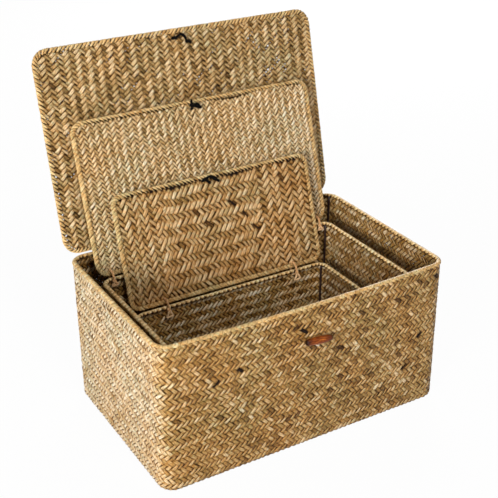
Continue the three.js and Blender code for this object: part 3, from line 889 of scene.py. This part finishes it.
def bindLid(box):
    spec = lidEdges[box.name]
    inset, reach = wraps["inset"], wraps["lidReach"]
    radius = lidMid - inset
    bend = np.linspace(-math.pi / 2, math.pi / 2, wraps["bendPoints"])
    over = np.stack([-lidMid + radius * np.cos(bend), lidMid + radius * np.sin(bend)], 1)

    def placed(xy, _, up):
        return onLid(box, xy[..., 0], xy[..., 1], up)
    profile = [(-reach, inset), over, (-reach, 2 * lidMid - inset)]
    bundle = windEdge(box.lidPlan, profile, placed, spec, spec["crest"])
    makePiece(box, "LidEdge", bundle, edgeSeagrass, "_lid", "edge_seagrass", "_lid_binding")


for box in boxes:
    bindRim(box)
    bindLid(box)
print("edges bound")


# wire frames: a hoop under the rim, a hoop in the foot and a post in each corner

frameWire = {"rimInset": 4.7, "rimDrop": 3.3, "footInset": 5.11, "footHeight": 4.01, "step": 3,
             "postPoints": 24, "postDrift": 0.12, "postExtra": 0.7}


def hoop(plan, inset):
    length = outlineLength(*plan, inset)
    s = np.linspace(0, length, int(length / frameWire["step"]), endpoint=False)
    return roundOutline(*plan, inset, s)


def wireFrame(box):
    bundle = newBundle()
    foot, rim = frameWire["footHeight"], box.height - frameWire["rimDrop"]
    for inset, z in ((frameWire["rimInset"], rim), (frameWire["footInset"], foot)):
        xy, normal = hoop(box.plan, inset)
        path = bellied(box, xy, normal, np.full(len(xy), z))
        roundCord(bundle, path, wire, sides=8, closed=True)
    reach = (box.corner - frameWire["rimInset"]) * math.sqrt(0.5)
    count, sway = frameWire["postPoints"], frameWire["postDrift"]
    for sx, sy in fourCorners:
        x = sx * (box.width / 2 - box.corner + reach) + drift(count, sway)
        y = sy * (box.depth / 2 - box.corner + reach) + drift(count, sway)
        post = np.stack([x, y, np.linspace(foot, rim, count)], 1) + box.place
        roundCord(bundle, post, wire + frameWire["postExtra"])
    makePiece(box, "WireFrame", bundle, coatedWire, "_box", "coated_wire", "_wire_frame")


def lidWire(box):
    bundle = newBundle()
    xy, _ = hoop(box.lidPlan, lidMid)
    roundCord(bundle, onLid(box, *xy.T, np.full(len(xy), lidMid)), wire, sides=8, closed=True)
    makePiece(box, "LidWire", bundle, coatedWire, "_lid", "coated_wire", "_lid_wire")


for box in boxes:
    wireFrame(box)
    lidWire(box)
print("wire frames bent")


# twine ties: a loop through the back wall and the lid, with a knot and two tails inside

twine = {"thick": 3.0, "radius": 8.2, "slack": 1.0, "sweep": 140, "twist": 6, "at": (-9.4, -3.0),
         "knot": 3.6, "knotThick": 0.8, "knotTone": 0.55, "tailThick": 0.85, "tailTone": 0.75,
         "drop": {"large": 9.5, "medium": 5, "small": 9.5}, "spread": 4}


def twineTie(box, side, x):
    centre = np.array(box.place) + (x, box.depth / 2, box.height + fit)
    turn = np.linspace(-90, 270, 100, endpoint=False)
    share = np.sin(math.pi * np.minimum((turn + 90) / twine["sweep"], 1))
    radius = twine["radius"] - twine["slack"] * share ** 2
    angle = np.radians(turn)
    loop = centre + np.stack([0 * turn, radius * np.cos(angle), radius * np.sin(angle)], 1)
    bundle = newBundle()
    thick, twist = twine["thick"], twine["twist"]
    plyCord(bundle, loop, thick, twist, plainTone, closed=True)
    at = centre + (0, *twine["at"])
    knot = knotPath(at, twine["knot"])
    plyCord(bundle, knot, thick * twine["knotThick"], twist, twine["knotTone"], closed=True)
    drop, spread = twine["drop"][box.name], twine["spread"]
    bow = [(0, 0, 0), (-spread * 0.55, -1.4, -drop * 0.5), (-spread, -1, -drop), (0.5, -1.2, -drop * 1.02),
           (spread, -1, -drop * 0.9), (spread * 0.6, -1.4, -drop * 0.45), (0, 0, 0)]
    tails = smoothPath(at + np.array(bow), 0.5)
    plyCord(bundle, tails, thick * twine["tailThick"], twist, twine["tailTone"])
    makePiece(box, side.title() + "Tie", bundle, juteTwine, "_box", "jute_twine", f"_{side}_tie")


for box in boxes:
    twineTie(box, "left", box.tieInset - box.width / 2)
    twineTie(box, "right", box.width / 2 - box.tieInset)
print("ties knotted")


# toggles: turned wood on a cord that is knotted inside the wall

toggle = {"length": 36, "thick": 9.5, "end": 6.4, "barrel": 0.7, "stand": 6.85, "tilt": 5, "shift": 2.5,
          # each end is rounded: how far in, and how much less radius there
          "round": 0.9, "rounding": [(0, 0.9), (0.12, 0.45), (0.4, 0.14)], "steps": 41, "sides": 32,
          "cord": 1.5, "twist": 3, "slack": 7.6, "slackSpread": 4.4, "knot": 4.4, "knotPath": 3.2,
          "cordTone": 0.6, "slackTone": 0.65}


def fastening(box):
    z = box.height - box.toggleDrop
    y = wallInset - box.depth / 2 - box.bow * z / box.height
    seat = np.array(box.place) + (toggle["shift"], y, z)
    tilt = math.radians(toggle["tilt"])
    turn = np.array([(math.cos(tilt), 0, math.sin(tilt)), (0, 1, 0), (-math.sin(tilt), 0, math.cos(tilt))])

    def seated(points):
        return np.asarray(points, float) @ turn.T + seat
    half, full, end = toggle["length"] / 2, toggle["thick"] / 2, toggle["end"] / 2
    flank = np.linspace(toggle["round"] - half, half - toggle["round"], toggle["steps"])
    tip = np.array([half - inwards for inwards, _ in toggle["rounding"]])
    x = np.concatenate([-tip, flank, tip[::-1]])
    radius = end + (full - end) * np.abs(np.cos(x / half * math.pi / 2)) ** toggle["barrel"]
    for k, (_, less) in enumerate(toggle["rounding"]):
        radius[[k, -1 - k]] -= less
    angle = np.linspace(0, 2 * math.pi, toggle["sides"], endpoint=False)
    rings = np.stack([x[:, None] + 0 * angle, radius[:, None] * np.cos(angle) - toggle["stand"],
                      radius[:, None] * np.sin(angle)], -1)
    wood = newBundle()
    addTube(wood, seated(rings), angle / (2 * math.pi), x, own=0.3, tone=plainTone)
    makePiece(box, "Toggle", wood, lacqueredWood, "_fastening", "lacquered_wood", "_toggle")
    thread = newBundle()
    cord, twist, tone = toggle["cord"], toggle["twist"], toggle["cordTone"]
    inside = mat + fit + toggle["knot"] / 2
    stand = fit + cord / 2
    stem = evenly(np.array([(0, fit - toggle["stand"], 0), (0, inside, 0)]), 0.5)
    plyCord(thread, seated(stem), cord, twist, tone)
    half, slack = toggle["slackSpread"] / 2, toggle["slack"]
    side = [(0, -stand, 0), (half, -stand, -full * 2 / 3), (half, -full, -slack + cord / 2)]
    bight = smoothPath(thereAndBack(side, (0, -toggle["stand"], -slack)), 0.4)
    plyCord(thread, seated(bight), cord, twist, toggle["slackTone"])
    knot = knotPath((0, inside, 0), toggle["knotPath"])
    plyCord(thread, seated(knot), cord, twist, tone, closed=True)
    makePiece(box, "ToggleCord", thread, cottonCord, "_fastening", "cotton_cord", "_toggle_cord")


for box in boxes:
    fastening(box)
print("toggles hung")


# white floor, white surroundings and soft light, mostly from the left

studio = {
    "floor": tint(225, 225, 225), "floorReach": 6, "floorDrop": 0.0004, "ambient": 0.12, "glow": 0.96,
    "aim": (0, 0.05, 0.18),
    # name, place, size and power
    "lamps": [("left softbox", (-2.0, -1.3, 0.7), 0.9, 68), ("top fill", (-0.2, -1.7, 2.3), 0.6, 32),
              ("back fill", (1.4, 1.8, 1.0), 1.2, 42)],
}


def whiteSeen(tree):
    # rays that show or mirror the background see plain white, the others see what is lit
    path = put(tree, "LightPath").outputs
    mirrored = sums(tree, "MAXIMUM", path["Is Glossy Ray"], path["Is Transmission Ray"])
    return sums(tree, "MAXIMUM", path["Is Camera Ray"], mirrored)


def makeFloor():
    mesh = bpy.data.meshes.new("floor")
    reach = studio["floorReach"]
    corners = [(x * reach, y * reach, -studio["floorDrop"]) for x, y in fourCorners]
    mesh.from_pydata(corners, [], [(0, 1, 2, 3)])
    floor = addObject("floor", mesh)
    material, tree = newMaterial("white paper")
    paper = put(tree, "BsdfDiffuse", {"Color": studio["floor"]})
    glow = put(tree, "Emission", {"Color": (1, 1, 1, 1), "Strength": 1})
    share = times(tree, whiteSeen(tree), studio["glow"])
    mixed = put(tree, "MixShader", {0: share, 1: paper.outputs[0], 2: glow.outputs[0]})
    put(tree, "OutputMaterial", {"Surface": mixed.outputs[0]})
    mesh.materials.append(material)


def makeLight():
    world = bpy.data.worlds.new("studio")
    tree = emptyTree(world)
    room = put(tree, "Background", {"Color": (1, 1, 1, 1), "Strength": studio["ambient"]})
    white = put(tree, "Background", {"Color": (1, 1, 1, 1), "Strength": 1})
    mixed = put(tree, "MixShader", {0: whiteSeen(tree), 1: room.outputs[0], 2: white.outputs[0]})
    put(tree, "OutputWorld", {"Surface": mixed.outputs[0]})
    bpy.context.scene.world = world
    for name, place, size, power in studio["lamps"]:
        lamp = bpy.data.lights.new(name, "AREA")
        lamp.size = size
        lamp.energy = power
        holder = addObject(name, lamp)
        holder.location = place
        aim = np.array(studio["aim"]) - place
        flat = math.hypot(aim[0], aim[1])
        holder.rotation_euler = (math.atan2(flat, -aim[2]), 0, math.atan2(-aim[0], aim[1]))


makeFloor()
makeLight()
bpy.context.scene.view_settings.view_transform = "Standard"
print("studio lit")
